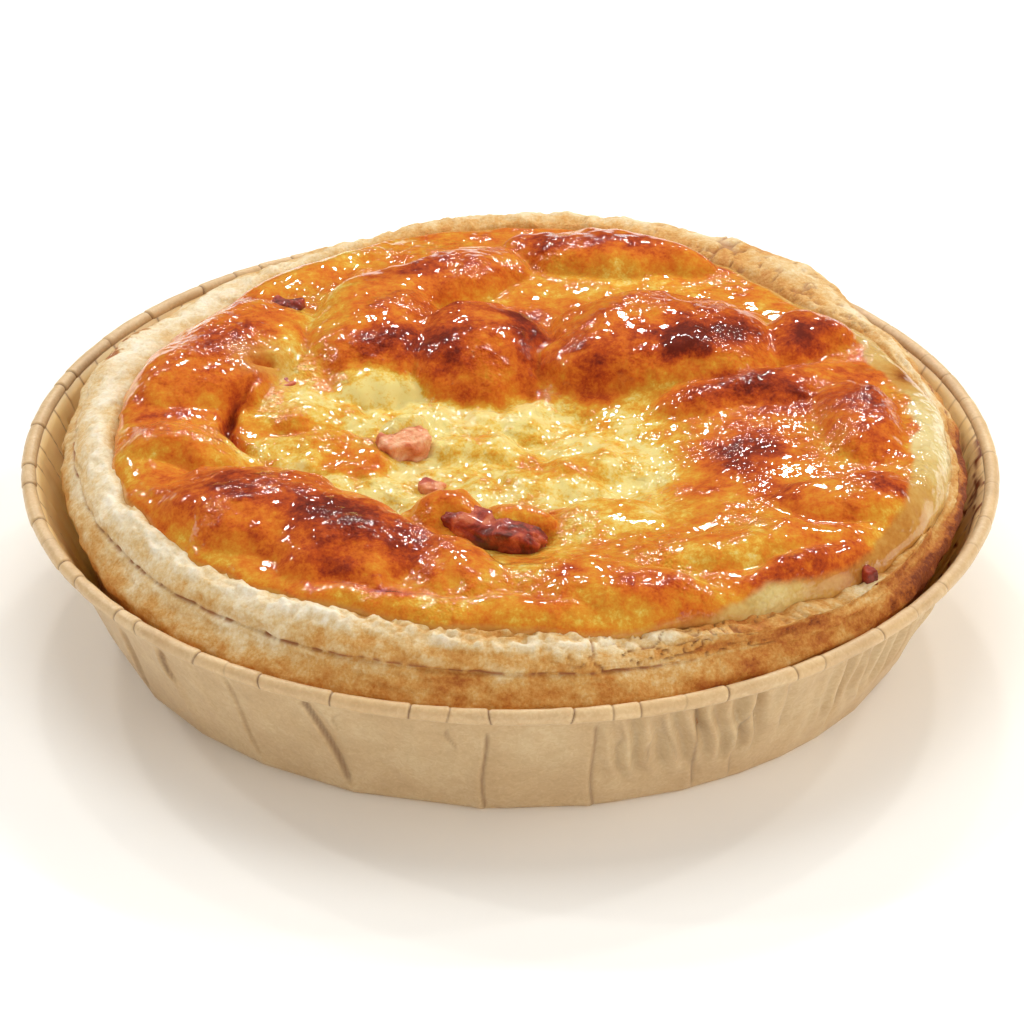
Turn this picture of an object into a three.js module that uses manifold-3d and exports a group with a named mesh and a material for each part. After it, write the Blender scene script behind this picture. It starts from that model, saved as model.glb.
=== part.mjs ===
// An individual quiche Lorraine, baked in its kraft paper case: a pleated case with a rolled rim, a shell of
// laminated pastry, a puffed egg and cheese custard, and the bacon cubes that show through the custard.
// Millimetres, +Z up. The origin is the centre of the case's base; -Y is the side that faces the viewer.
import * as THREE from "three";
import { mergeVertices } from "three/addons/utils/BufferGeometryUtils.js";
import Module from "manifold-3d";

const wasm = await Module();
wasm.setup();

// Driving dimensions of the paper case
const RIM_RADIUS = 70; // outside of the rolled rim
const BEAD_RADIUS = 1.2; // the rolled rim's own section
const CASE_HEIGHT = 23.1;
const BASE_RADIUS = 58.4;
const PAPER = 0.45; // paper thickness
const CASE_TURNS = 96; // faces round the case
// Directions, in degrees, of the hard folds that make corners in the base outline
const BASE_CORNERS = [
  -178, -163, -148, -136.5, -125, -111, -93, -78.5, -66, -57, -50, -43, -34, -22,
  -10, 3, 17, 32, 46, 60, 75, 89, 103, 118, 133, 148, 165,
];
const WALL_TOP_RADIUS = RIM_RADIUS - 2 * BEAD_RADIUS - PAPER / 2;
const BEAD_HEIGHT = CASE_HEIGHT - BEAD_RADIUS;

// Driving dimensions of the pastry
const GAP = 0.35; // play between neighbouring pieces
const SHELL_WALL = 4.6; // pastry thickness at the wall
const SHELL_FLOOR = 4.2;
const SHELL_TURNS = 90;
const LIP_OUTER = 62; // nominal lip, which the stations below move
const LIP_INNER = 57;
const LIP_TOP = 29;
const BELLY_RADIUS = 64.2; // the lower sheet, which bulges over the case
const BELLY_HEIGHT = 22.2;
const SEAM_HEIGHT = 25.4; // the line between the lower and the upper sheet
const SEAM_DEPTH = 1.1;

// The lip is uneven: direction in degrees, outer radius, top height, inner radius
const LIP = [
  [-180, 60.8, 28.4, 55.2],
  [-160, 61.4, 28.6, 56.4],
  [-135, 61.8, 29.0, 57.6],
  [-112, 62.4, 29.4, 57.4],
  [-90, 62.6, 29.2, 57.8],
  [-70, 63.0, 27.4, 59.2],
  [-50, 65.0, 25.8, 62.0],
  [-30, 65.3, 25.9, 62.3],
  [-12, 64.4, 26.6, 61.2],
  [8, 62.6, 28.2, 59.4],
  [28, 61.8, 29.4, 57.2],
  [42, 63.8, 30.4, 56.0],
  [55, 64.2, 31.0, 57.0],
  [75, 63.8, 30.8, 57.6],
  [95, 63.2, 30.2, 56.6],
  [112, 60.6, 29.4, 55.0],
  [130, 59.8, 27.8, 53.6],
  [145, 59.4, 27.8, 53.2],
  [162, 62.2, 28.0, 54.2],
];
const OUTER = 1;
const TOP = 2;
const INNER = 3;

// The custard: a low basin, and the puffed folds of skin that stand round it.
// Each fold is a dome: x, y, length, width, turn in degrees, top height, drop of its flank, squareness
const BASIN = { x: -7, y: -13, halfLength: 31, halfWidth: 24, floor: 27.2 };
const SHELF = 30.4; // the custard's level outside the basin
const EDGE_ROUNDING = 5.5;
const CREASE = 1.2; // softness of the crease between two folds
const CUSTARD_RINGS = 22;
const FOLDS = {
  westLoaf: [-40.6, 12.2, 34, 21, 48, 33.8, 5.0, 2.6],
  westKnuckle: [-46.0, -13.0, 19, 14, -20, 32.6, 4.0, 2.2],
  southWestRoll: [-30.0, -35.5, 46, 23, -36, 34.6, 5.5, 2.8],
  southWestWedge: [-6.5, -46.5, 24, 13, -38, 32.4, 4.5, 2.4],
  southLedge: [-16.5, -54.0, 33, 10, -8, 31.6, 3.0, 2.2],
  southLip: [1.0, -55.5, 25, 9, 6, 31.8, 3.0, 2.2],
  southRidge: [17.0, -51.0, 38, 15, -17, 33.0, 5.0, 2.4],
  southEastCrest: [43.0, -44.0, 27, 14, 38, 32.6, 4.0, 2.2],
  eastRibLow: [37.0, -35.0, 44, 12, 24, 32.4, 3.0, 2.0],
  eastRib: [46.0, -21.5, 26, 13, 14, 32.8, 3.0, 2.2],
  eastSwell: [46.0, -6.5, 28, 19, -10, 33.6, 3.5, 2.2],
  northEastRib: [39.5, 9.0, 34, 13, 26, 32.6, 3.0, 2.2],
  northEastDome: [23.0, 19.0, 37, 27, -4, 36.0, 6.0, 2.4],
  northEastKnob: [44.0, 21.5, 18, 12, 50, 33.4, 3.0, 2.2],
  northSwell: [15.0, 43.5, 36, 18, -3, 34.2, 3.6, 2.3],
  northDome: [-4.6, 18.8, 23, 28, 8, 35.0, 6.5, 2.4],
  northWestDome: [-19.5, 27.5, 43, 23, 46, 34.8, 6.0, 2.5],
  northWestLedge: [-28.0, 41.5, 30, 10, 34, 31.6, 2.6, 2.2],
  eastFlat: [28.0, -11.0, 30, 30, 60, 30.6, 3.0, 2.0],
  curdWest: [-30.5, 4.5, 17, 14, 10, 29.2, 2.4, 2.2],
  curdSouthWest: [-25.5, -9.0, 20, 12, -8, 29.4, 2.4, 2.2],
  curdNorth: [-19.5, 8.0, 14, 11, 30, 29.6, 2.4, 2.2],
  curdMiddle: [-4.0, -7.0, 19, 9, -12, 28.8, 1.8, 2.2],
  curdSouth: [-11.5, -29.5, 11, 7, -35, 29.2, 2.4, 2.2],
  curdYellow: [13.5, -28.5, 20, 16, 0, 30.0, 3.0, 2.3],
  curdEast: [8.0, -14.0, 16, 10, 20, 28.8, 1.8, 2.2],
  baconHood: [-1.8, -26.6, 12, 6.5, -20, 30.4, 2.4, 2.2],
  baconHoodWest: [-9.6, -25.6, 8, 6, -30, 29.8, 2.0, 2.2],
};

// The bacon cubes: centre, length, width, height, and turn in degrees
const BACON = {
  bacon_front: [-2.4, -32.2, 28.6, 18, 6.6, 6.0, -34],
  bacon_middle: [-15.0, -7.0, 28.2, 8.4, 6.0, 4.6, 24],
  bacon_small: [-11.2, -17.4, 27.2, 4.6, 3.4, 3.2, -30],
  bacon_back: [-33.4, 28.6, 31.0, 7.4, 4.6, 4.4, -12],
  bacon_east: [47.6, -41.0, 27.2, 6.0, 4.0, 4.0, -60],
  bacon_west: [-33.2, 7.4, 30.6, 7.0, 4.0, 4.6, 46],
};
const BACON_SQUARENESS = 0.62; // 1 is an ellipsoid, less is nearer a block

const PASTRY_FINISH = { color: 0xd9b27c, roughness: 0.75, metalness: 0 };
const CUSTARD_FINISH = { color: 0xdf9a3c, roughness: 0.28, metalness: 0 };
const BACON_FINISH = { color: 0xa9503b, roughness: 0.4, metalness: 0 };
const PAPER_FINISH = { color: 0xc4a47a, roughness: 0.7, metalness: 0 };

// Small helpers

const degrees = (angle) => (angle * 180) / Math.PI;
const radians = (angle) => (angle * Math.PI) / 180;
const clamp01 = (t) => Math.min(1, Math.max(0, t));
const smoothstep = (from, to, value) => {
  const t = clamp01((value - from) / (to - from));
  return t * t * (3 - 2 * t);
};

// A smooth closed curve through one column of the lip's stations
function lipAt(angle, column) {
  const count = LIP.length;
  const turn = ((((degrees(angle) + 180) % 360) + 360) % 360) - 180;
  let i = count - 1;
  while (i > 0 && LIP[i][0] > turn) i -= 1;
  const start = LIP[i][0];
  const end = i + 1 < count ? LIP[i + 1][0] : LIP[0][0] + 360;
  const t = (turn - start) / (end - start);
  const value = (k) => LIP[(i + k + count) % count][column];
  const [p0, p1, p2, p3] = [value(-1), value(0), value(1), value(2)];
  return (
    0.5 *
    (2 * p1 +
      (p2 - p0) * t +
      (2 * p0 - 5 * p1 + 4 * p2 - p3) * t * t +
      (3 * p1 - p0 - 3 * p2 + p3) * t * t * t)
  );
}

// Gentle unevenness: a few crossed waves, with a typical spacing of pitch
function ripple(x, y, pitch, seed) {
  let total = 0;
  for (let k = 0; k < 5; k += 1) {
    const turn = seed + 2.4 * k;
    const wave = (2 * Math.PI) / (pitch * (0.72 + 0.19 * k));
    total += Math.sin(wave * (x * Math.cos(turn) + y * Math.sin(turn)) + 1.7 * seed * (k + 1));
  }
  return total / 3;
}

function smoothMax(a, b, softness) {
  const h = clamp01(0.5 + (0.5 * (a - b)) / softness);
  return b + (a - b) * h + softness * h * (1 - h);
}

// Turns a profile of [radius, height] about Z, then moves each point with place(radius, angle, height)
function turned(profile, turns, place) {
  const points = profile.map(([radius, height]) => new THREE.Vector2(radius, height));
  const lathe = new THREE.LatheGeometry(points, turns);
  lathe.rotateX(Math.PI / 2);
  lathe.deleteAttribute("normal");
  lathe.deleteAttribute("uv");
  const geometry = mergeVertices(lathe, 1e-3);
  const position = geometry.getAttribute("position");
  for (let i = 0; i < position.count; i += 1) {
    const [x, y, z] = [position.getX(i), position.getY(i), position.getZ(i)];
    const radius = Math.hypot(x, y);
    const angle = radius > 1e-6 ? Math.atan2(y, x) : 0;
    const [newRadius, newHeight] = place(radius, angle, z);
    position.setXYZ(i, newRadius * Math.cos(angle), newRadius * Math.sin(angle), newHeight);
  }
  return geometry;
}

function toSolid(geometry) {
  const vertProperties = new Float32Array(geometry.getAttribute("position").array);
  const triVerts = new Uint32Array(geometry.index.array);
  const solid = new wasm.Manifold(new wasm.Mesh({ numProp: 3, vertProperties, triVerts }));
  if (solid.volume() > 0) return solid;
  for (let i = 0; i < triVerts.length; i += 3) {
    [triVerts[i + 1], triVerts[i + 2]] = [triVerts[i + 2], triVerts[i + 1]];
  }
  return new wasm.Manifold(new wasm.Mesh({ numProp: 3, vertProperties, triVerts }));
}

function toGeometry(solid) {
  const mesh = solid.getMesh();
  const geometry = new THREE.BufferGeometry();
  geometry.setAttribute("position", new THREE.BufferAttribute(mesh.vertProperties, 3));
  geometry.setIndex(new THREE.BufferAttribute(mesh.triVerts, 1));
  geometry.computeVertexNormals();
  return geometry;
}

// Paper case: the base outline is a polygon at the folds, and the wall rounds off towards the rim

// How far in the straight side between two corners lies, as a share of the radius
function cornerShare(angle) {
  const count = BASE_CORNERS.length;
  const turn = ((((degrees(angle) - BASE_CORNERS[0]) % 360) + 360) % 360) + BASE_CORNERS[0];
  let i = count - 1;
  while (i > 0 && BASE_CORNERS[i] > turn) i -= 1;
  const from = BASE_CORNERS[i];
  const to = i + 1 < count ? BASE_CORNERS[i + 1] : BASE_CORNERS[0] + 360;
  return Math.cos(radians((to - from) / 2)) / Math.cos(radians(turn - (from + to) / 2));
}

function paperCase() {
  const bead = [];
  const beadCentre = RIM_RADIUS - BEAD_RADIUS;
  for (const turn of [-100, -45, 0, 45, 90, 135, 190]) {
    bead.push([
      beadCentre + BEAD_RADIUS * Math.cos(radians(turn)),
      BEAD_HEIGHT + BEAD_RADIUS * Math.sin(radians(turn)),
    ]);
  }
  const profile = [
    [0, 0],
    [BASE_RADIUS, 0],
    [(BASE_RADIUS + WALL_TOP_RADIUS) / 2, BEAD_HEIGHT / 2 - 0.6],
    [WALL_TOP_RADIUS, BEAD_HEIGHT - BEAD_RADIUS],
    ...bead,
    [WALL_TOP_RADIUS - PAPER, BEAD_HEIGHT - BEAD_RADIUS],
    [(BASE_RADIUS + WALL_TOP_RADIUS) / 2 - PAPER, BEAD_HEIGHT / 2 - 0.6],
    [BASE_RADIUS - PAPER, PAPER],
    [0, PAPER],
  ];
  const place = (radius, angle, height) => {
    const fold = 1 - smoothstep(0, BEAD_HEIGHT - BEAD_RADIUS, height);
    return [radius * (1 - fold * (1 - cornerShare(angle))), height];
  };
  return turned(profile, CASE_TURNS, place);
}

// Pastry shell: a lower and an upper sheet with a seam between them, and an uneven lip

function pastryPlace(radius, angle, height) {
  const lift = smoothstep(16, 25, height);
  const across = clamp01((radius - LIP_INNER) / (LIP_OUTER - LIP_INNER));
  const innerMove = lipAt(angle, INNER) - LIP_INNER;
  const outerMove = lipAt(angle, OUTER) - LIP_OUTER;
  const [x, y] = [radius * Math.cos(angle), radius * Math.sin(angle)];
  const uneven = lift * 0.35 * ripple(x, y, 17, 1.1);
  const move = (innerMove + (outerMove - innerMove) * across) * lift + uneven;
  const above = Math.max(0, height - 24);
  const raised = (above * (lipAt(angle, TOP) - 24)) / (LIP_TOP - 24) - above;
  return [radius + move, height + raised + uneven * 0.6];
}

function pastryCrust() {
  const floor = PAPER + GAP;
  const foot = BASE_RADIUS - PAPER - 2.2;
  const profile = [
    [0, floor],
    [foot, floor],
    [foot + 3.6, 9],
    [LIP_OUTER - 0.2, 16.5],
    [BELLY_RADIUS - 0.5, BELLY_HEIGHT - 2.2],
    [BELLY_RADIUS, BELLY_HEIGHT],
    [BELLY_RADIUS - 0.7, SEAM_HEIGHT - 1.2],
    [LIP_OUTER - SEAM_DEPTH, SEAM_HEIGHT],
    [LIP_OUTER + 0.3, SEAM_HEIGHT + 1.0],
    [LIP_OUTER - 0.3, LIP_TOP - 1.1],
    [LIP_OUTER - 1.9, LIP_TOP],
    [LIP_INNER + 1.0, LIP_TOP - 0.3],
    [LIP_INNER, LIP_TOP - 1.6],
    [LIP_OUTER - SHELL_WALL - 2.2, 16.5],
    [foot - SHELL_WALL - 0.6, floor + SHELL_FLOOR],
    [0, floor + SHELL_FLOOR],
  ];
  return turned(profile, SHELL_TURNS, pastryPlace);
}

// Custard: fills the shell, and its top is the highest of the basin and the folds

function foldHeight(x, y, [cx, cy, length, width, turn, top, drop, square]) {
  const a = radians(turn);
  const along = ((x - cx) * Math.cos(a) + (y - cy) * Math.sin(a)) / (length / 2);
  const across = ((y - cy) * Math.cos(a) - (x - cx) * Math.sin(a)) / (width / 2);
  const q = (Math.abs(along) ** square + Math.abs(across) ** square) ** (1 / square);
  return q < 1 ? top - drop + drop * (1 - q ** 2.2) ** 0.7 : top - drop - 18 * (q - 1);
}

function custardTop(x, y) {
  const [wx, wy] = [x + 1.3 * ripple(x, y, 15, 0.7), y + 1.3 * ripple(x, y, 15, 2.9)];
  const out = Math.hypot((x - BASIN.x) / BASIN.halfLength, (y - BASIN.y) / BASIN.halfWidth);
  let height = BASIN.floor + (SHELF - BASIN.floor) * smoothstep(0.8, 1.4, out);
  for (const fold of Object.values(FOLDS)) {
    height = smoothMax(foldHeight(wx, wy, fold), height, CREASE);
  }
  const angle = Math.atan2(y, x);
  const inward = clamp01((lipAt(angle, INNER) - Math.hypot(x, y)) / EDGE_ROUNDING);
  const rim = lipAt(angle, TOP) - 0.6;
  return rim + (height - rim) * Math.sqrt(1 - (1 - inward) ** 2.2);
}

function custardGeometry() {
  const floor = PAPER + 2 * GAP + SHELL_FLOOR;
  const foot = BASE_RADIUS - PAPER - 2.2 - SHELL_WALL - 1.2;
  const waist = LIP_OUTER - SHELL_WALL - 2.6;
  const profile = [
    [0, floor],
    [foot, floor],
    [waist, 16.5],
    [LIP_INNER - 0.4, LIP_TOP - 1.7],
  ];
  for (let ring = 0; ring <= CUSTARD_RINGS; ring += 1) {
    profile.push([(LIP_INNER - 0.4) * (1 - ring / CUSTARD_RINGS), LIP_TOP]);
  }
  const place = (radius, angle, height) => {
    if (height < LIP_TOP - 0.5) {
      const [moved, raised] = pastryPlace(radius, angle, height);
      return [moved, raised];
    }
    const share = radius / (LIP_INNER - 0.4);
    const edge = pastryPlace(LIP_INNER - 0.4, angle, LIP_TOP - 1.7)[0];
    const out = share * edge;
    return [out, custardTop(out * Math.cos(angle), out * Math.sin(angle))];
  };
  return turned(profile, SHELL_TURNS, place);
}

// Bacon: rounded blocks, a little bent, lying in pockets of the custard

function baconGeometry([x, y, z, length, width, height, turn], play = 0) {
  const block = new THREE.SphereGeometry(1, 12, 8);
  block.deleteAttribute("normal");
  block.deleteAttribute("uv");
  const geometry = mergeVertices(block, 1e-3);
  const position = geometry.getAttribute("position");
  const squared = (t) => Math.sign(t) * Math.abs(t) ** BACON_SQUARENESS;
  for (let i = 0; i < position.count; i += 1) {
    const along = squared(position.getX(i));
    position.setXYZ(
      i,
      along * (length / 2 + play),
      squared(position.getY(i)) * (width / 2 + play) + 0.07 * width * along * along,
      squared(position.getZ(i)) * (height / 2 + play),
    );
  }
  geometry.rotateZ(radians(turn));
  geometry.translate(x, y, z);
  return geometry;
}

// Assembly

const quiche = new THREE.Group();

function addPiece(name, geometry, finish) {
  const mesh = new THREE.Mesh(geometry, new THREE.MeshStandardMaterial(finish));
  mesh.name = name;
  quiche.add(mesh);
}

let custard = toSolid(custardGeometry());
let crust = toSolid(pastryCrust());
for (const size of Object.values(BACON)) {
  const pocket = toSolid(baconGeometry(size, GAP));
  custard = custard.subtract(pocket);
  crust = crust.subtract(pocket);
}
const largest = (solid) => solid.decompose().sort((a, b) => b.volume() - a.volume())[0];

addPiece("paper_case", toGeometry(toSolid(paperCase())), PAPER_FINISH);
addPiece("pastry_crust", toGeometry(largest(crust)), PASTRY_FINISH);
addPiece("custard", toGeometry(largest(custard)), CUSTARD_FINISH);
for (const [name, size] of Object.entries(BACON)) {
  addPiece(name, toGeometry(toSolid(baconGeometry(size))), BACON_FINISH);
}

export default quiche;
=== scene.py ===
"""A baked individual quiche in its kraft paper case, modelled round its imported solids.

Shapes are worked out in millimetres and written to the meshes in metres. +Z is up, the origin is the centre
of the case's base, and directions round the quiche are in degrees from +X; -90 faces the camera.
"""
import math

import bmesh
import bpy
import numpy as np
from mathutils import Matrix, Vector


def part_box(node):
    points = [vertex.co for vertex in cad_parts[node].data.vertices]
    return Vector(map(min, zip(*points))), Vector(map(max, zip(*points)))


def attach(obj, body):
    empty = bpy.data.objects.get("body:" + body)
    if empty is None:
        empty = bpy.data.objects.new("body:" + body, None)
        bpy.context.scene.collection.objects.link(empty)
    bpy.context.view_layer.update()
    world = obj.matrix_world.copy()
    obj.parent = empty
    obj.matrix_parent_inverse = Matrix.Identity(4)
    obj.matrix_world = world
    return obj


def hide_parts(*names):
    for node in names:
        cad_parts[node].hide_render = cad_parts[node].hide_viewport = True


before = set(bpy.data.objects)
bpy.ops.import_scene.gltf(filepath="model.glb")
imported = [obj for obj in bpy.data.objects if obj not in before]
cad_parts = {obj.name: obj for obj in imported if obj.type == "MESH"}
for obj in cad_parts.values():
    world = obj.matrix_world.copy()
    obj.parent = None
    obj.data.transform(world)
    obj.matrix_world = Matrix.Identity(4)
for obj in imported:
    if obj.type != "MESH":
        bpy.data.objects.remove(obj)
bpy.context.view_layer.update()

bl_info = {
    "name": "Quiche in a paper case",
    "version": (1, 0, 0),
    "blender": (4, 5, 0),
    "location": "3D View > Sidebar > Quiche",
    "description": "Models a baked individual quiche with its pleated paper case",
    "category": "Add Mesh",
}

MM = 0.001
FULL_TURN = 2 * math.pi

# The case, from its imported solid
CASE_LOW, CASE_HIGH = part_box("paper_case")
RIM_RADIUS = (CASE_HIGH[0] - CASE_LOW[0]) / 2 / MM
CASE_HEIGHT = CASE_HIGH[2] / MM
WALL_LEAN = 11.6  # the rim stands out past the base by this
BASE_RADIUS = RIM_RADIUS - WALL_LEAN
PAPER = 0.45
BEAD_RADIUS = 1.2
BEAD_CENTRE = RIM_RADIUS - BEAD_RADIUS
BEAD_HEIGHT = CASE_HEIGHT - BEAD_RADIUS
WALL_TOP_RADIUS = RIM_RADIUS - 2 * BEAD_RADIUS - PAPER / 2
WALL_TOP = BEAD_HEIGHT - BEAD_RADIUS
WALL_FLARE = 0.75  # the wall's end, hidden in the rolled rim, leans out by this
BEAD_TUCK = 0.12  # the rolled rim is drawn in by this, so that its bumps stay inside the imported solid's box

# Directions of the hard folds that make corners in the base outline
BASE_CORNERS = [
    -178, -163, -148, -136.5, -125, -111, -93, -78.5, -66, -57, -50, -43, -34, -22,
    -10, 3, 17, 32, 46, 60, 75, 89, 103, 118, 133, 148, 165,
]

# Creases in the wall: direction and height of the upper end, then of the lower end, and depth
WALL_CREASES = [
    (-145.3, 14.9, -149.2, 1.8, 0.30), (-136.6, 17.4, -136.3, 11.4, 0.45), (-125.3, 18.3, -124.7, 2.8, 0.22),
    (-114.0, 19.2, -111.1, 2.5, 0.50), (-110.2, 17.7, -111.2, 14.5, 0.18), (-96.9, 17.8, -96.6, 13.5, 0.25),
    (-92.8, 17.2, -92.9, 0.4, 0.42), (-80.2, 18.3, -78.5, 0.2, 0.36), (-76.7, 19.0, -76.7, 12.4, 0.16),
    (-72.3, 14.8, -72.9, 9.1, 0.26), (-71.9, 19.0, -69.0, 8.8, 0.24), (-68.0, 18.9, -64.4, 1.2, 0.40),
    (-59.3, 18.9, -60.9, 8.7, 0.36), (-59.9, 9.5, -59.3, 1.1, 0.30), (-59.2, 18.1, -57.4, 6.1, 0.32),
    (-55.6, 18.2, -53.0, 8.7, 0.30), (-45.8, 18.2, -42.9, 2.5, 0.36), (-42.0, 17.6, -36.4, 4.9, 0.28),
    (-163.0, 18.6, -164.5, 3.0, 0.30), (-172.5, 18.0, -171.0, 5.0, 0.24), (-33.0, 17.0, -30.0, 7.0, 0.22),
    (-24.0, 18.4, -22.0, 2.0, 0.32), (-12.0, 18.0, -9.6, 4.0, 0.30), (-4.0, 17.0, -5.0, 9.0, 0.22),
    (5.0, 18.6, 3.4, 1.0, 0.36), (14.0, 18.0, 17.0, 3.0, 0.32), (24.0, 17.4, 22.0, 8.0, 0.22),
    (33.0, 18.8, 32.0, 1.0, 0.36), (44.0, 18.0, 46.0, 2.5, 0.34), (52.0, 17.6, 50.0, 7.0, 0.24),
    (61.0, 18.8, 60.0, 1.0, 0.38), (72.0, 18.0, 75.0, 3.0, 0.32), (83.0, 18.6, 81.0, 8.0, 0.22),
    (90.0, 18.6, 89.0, 0.6, 0.38), (101.0, 18.0, 103.0, 4.0, 0.30), (110.0, 17.2, 108.0, 6.0, 0.24),
    (119.0, 18.8, 118.0, 1.0, 0.36), (131.0, 18.0, 133.0, 3.0, 0.32), (141.0, 17.6, 139.0, 8.0, 0.24),
    (149.0, 18.4, 148.0, 1.0, 0.36), (157.0, 17.8, 160.0, 5.0, 0.26), (168.0, 18.6, 166.0, 2.0, 0.34),
]

PLEAT_PITCH = 4.5  # degrees between the pleats inside the wall
PLEAT_START = -92.0
# Notches pressed into the rolled rim: direction and strength
NOTCHES = [
    (160.4, 1), (164, 1), (173.8, 1), (-176.6, 1), (-172, 1), (-163.3, 1), (-153.2, 1), (-148.9, 0.8),
    (-140.4, 1), (-136.7, 0.8), (-127.4, 1), (-118.6, 1), (-109.9, 1), (-100.9, 1), (-96.6, 0.7), (-92, 1),
    (-83, 1), (-78.5, 0.7), (-75.4, 0.8), (-70.3, 0.3), (-65.2, 1), (-56.3, 0.8), (-52.5, 0.6), (-43.2, 0.8),
    (-37, 0.3), (-30.4, 0.5), (-21, 0.3), (-14.5, 0.5), (-6, 0.3), (1.5, 0.5), (9.6, 0.3), (14.8, 0.4),
    (21, 0.6), (26.4, 0.4), (35, 0.3), (47, 0.5), (60, 0.4), (74, 0.5), (83, 0.3), (96, 0.5), (108, 0.5),
    (119.5, 0.8), (123.9, 0.8), (128.1, 0.7), (133.5, 1), (142.6, 1), (151.4, 0.6), (-158.6, 0.3),
    (-123, 0.3),
]

# The pastry lip is uneven: direction in degrees, outer radius, top height, inner radius
LIP = np.array([
    (-180, 60.8, 28.4, 55.2), (-160, 61.4, 28.6, 56.4), (-135, 61.8, 29.0, 57.6), (-112, 62.4, 29.4, 57.4),
    (-90, 62.6, 29.2, 57.8), (-70, 63.0, 27.6, 58.2), (-50, 65.0, 26.6, 59.8), (-32, 64.6, 25.8, 61.8),
    (-12, 63.0, 25.8, 61.8), (6, 62.2, 27.2, 60.0), (28, 61.8, 29.4, 56.0), (42, 63.8, 30.4, 53.0),
    (55, 64.2, 31.0, 53.2), (75, 63.8, 30.8, 55.2), (95, 63.2, 30.2, 56.0), (112, 60.6, 29.4, 55.0),
    (130, 61.3, 27.7, 53.6), (145, 61.5, 27.6, 53.2), (160, 62.2, 27.8, 54.2),
])
OUTER, TOP, INNER = 1, 2, 3
LIP_OUTER, LIP_INNER, LIP_TOP = 62.0, 57.0, 29.0
LIP_ARC = 1.08  # millimetres along the lip for each degree
# How far the side of the pastry stands from the case: direction, gap
CASE_GAP = np.array([
    (-180, 3.6), (-164, 3.4), (-150, 1.9), (-134, 0.9), (-118, 0.7), (-60, 0.6), (-34, 0.7), (-18, 2.4),
    (-6, 3.4), (14, 3.4), (32, 2.8), (46, 2.0), (62, 1.2), (120, 1.0), (146, 1.0), (158, 3.2), (170, 3.9),
])
BELLY_RADIUS, BELLY_HEIGHT = 64.2, 22.2
SEAM_HEIGHT, SEAM_DEPTH = 25.4, 0.5

# The custard's folds of puffed skin: x, y, length, width, turn in degrees, top height, drop of the flank,
# squareness, and how brown the skin on it is, from 0 for pale to 1 for dark
FOLDS = {
    "west loaf": (-41.5, 14.5, 36, 19.5, 60, 34.0, 5.0, 2.7, 0.46),
    "west knuckle": (-46.5, -12.0, 18, 13, -15, 33.0, 4.0, 2.3, 0.46),
    "south-west roll": (-29.5, -33.5, 43, 22, -30, 34.6, 5.5, 2.9, 0.54),
    "south-west wedge": (-7.5, -44.8, 23, 12, -38, 32.6, 4.5, 2.6, 0.48),
    "south ledge": (-16.5, -54.0, 33, 10, -8, 31.6, 3.0, 2.2, 0.38),
    "south lip": (1.0, -55.5, 25, 9, 6, 31.8, 3.0, 2.2, 0.42),
    "south ridge": (15.5, -50.2, 36, 13, -16, 33.0, 5.0, 2.6, 0.42),
    "south-east crest": (42.5, -45.0, 26, 13, 30, 32.6, 4.0, 2.6, 0.52),
    "east rib low": (33.0, -38.0, 36, 10, 14, 32.4, 3.0, 2.2, 0.39),
    "east rib": (47.5, -25.0, 23, 11, 6, 32.8, 3.0, 2.2, 0.50),
    "east crest": (49.5, -3.5, 26, 13, 98, 33.6, 4.0, 2.3, 0.58),
    "north-east rib": (37.0, 6.5, 34, 11, 16, 32.6, 3.0, 2.0, 0.60),
    "north-east dome": (22.0, 19.5, 34, 25, -3, 35.6, 6.0, 2.8, 0.50),
    "north-east knob": (42.3, 20.5, 16, 11, 60, 33.6, 3.5, 2.3, 0.58),
    "north swell": (14.5, 46.5, 31, 12.5, -4, 34.0, 3.0, 2.1, 0.46),
    "north dome": (-4.6, 18.0, 22, 24.5, 8, 34.8, 6.5, 2.4, 0.54),
    "north-west dome": (-19.5, 25.0, 32, 20, 78, 34.4, 6.0, 2.8, 0.48),
    "north-west shoulder": (-10.5, 37.5, 30, 15, 33, 34.0, 4.0, 2.3, 0.50),
    "north-west ledge": (-30.0, 41.0, 28, 10, 38, 31.6, 2.6, 2.2, 0.38),
    "curd west": (-30.5, 3.0, 18, 15, 8, 29.6, 2.4, 2.4, 0.27),
    "curd south-west": (-25.5, -9.5, 20, 12, -8, 29.4, 2.4, 2.2, 0.27),
    "curd north": (-19.0, 10.5, 15, 11, 30, 30.6, 3.0, 2.2, 0.20),
    "curd middle": (-4.0, -7.0, 19, 9, -12, 28.8, 1.8, 2.2, 0.08),
    "curd south": (-11.5, -29.5, 11, 7, -35, 29.2, 2.4, 2.2, 0.50),
    "curd yellow": (13.5, -29.5, 20, 16, 0, 30.2, 3.0, 2.3, 0.32),
    "curd east": (8.0, -14.0, 16, 10, 20, 28.8, 1.8, 2.2, 0.12),
    "cheese cap": (-15.2, -3.6, 10, 4.6, 14, 31.2, 2.6, 2.0, 0.02),
    "bacon hood": (1.2, -30.2, 10, 5.0, -20, 31.9, 3.0, 2.2, 0.44),
    "bacon hood west": (-7.6, -27.8, 11, 6.6, -30, 31.8, 3.4, 2.2, 0.46),
    "north-east blister": (25.6, 13.0, 9, 7, 0, 35.5, 1.4, 2.0, 0.80),
}
BASIN_CENTRE = (-7.0, -13.0)
BASIN_HALF = (31.0, 24.0)
BASIN_FLOOR, BASIN_TONE = 27.2, 0.1
SHELF, SHELF_TONE = 30.4, 0.50
CREASE = 1.1
EDGE_ROUNDING = 5.5

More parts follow.
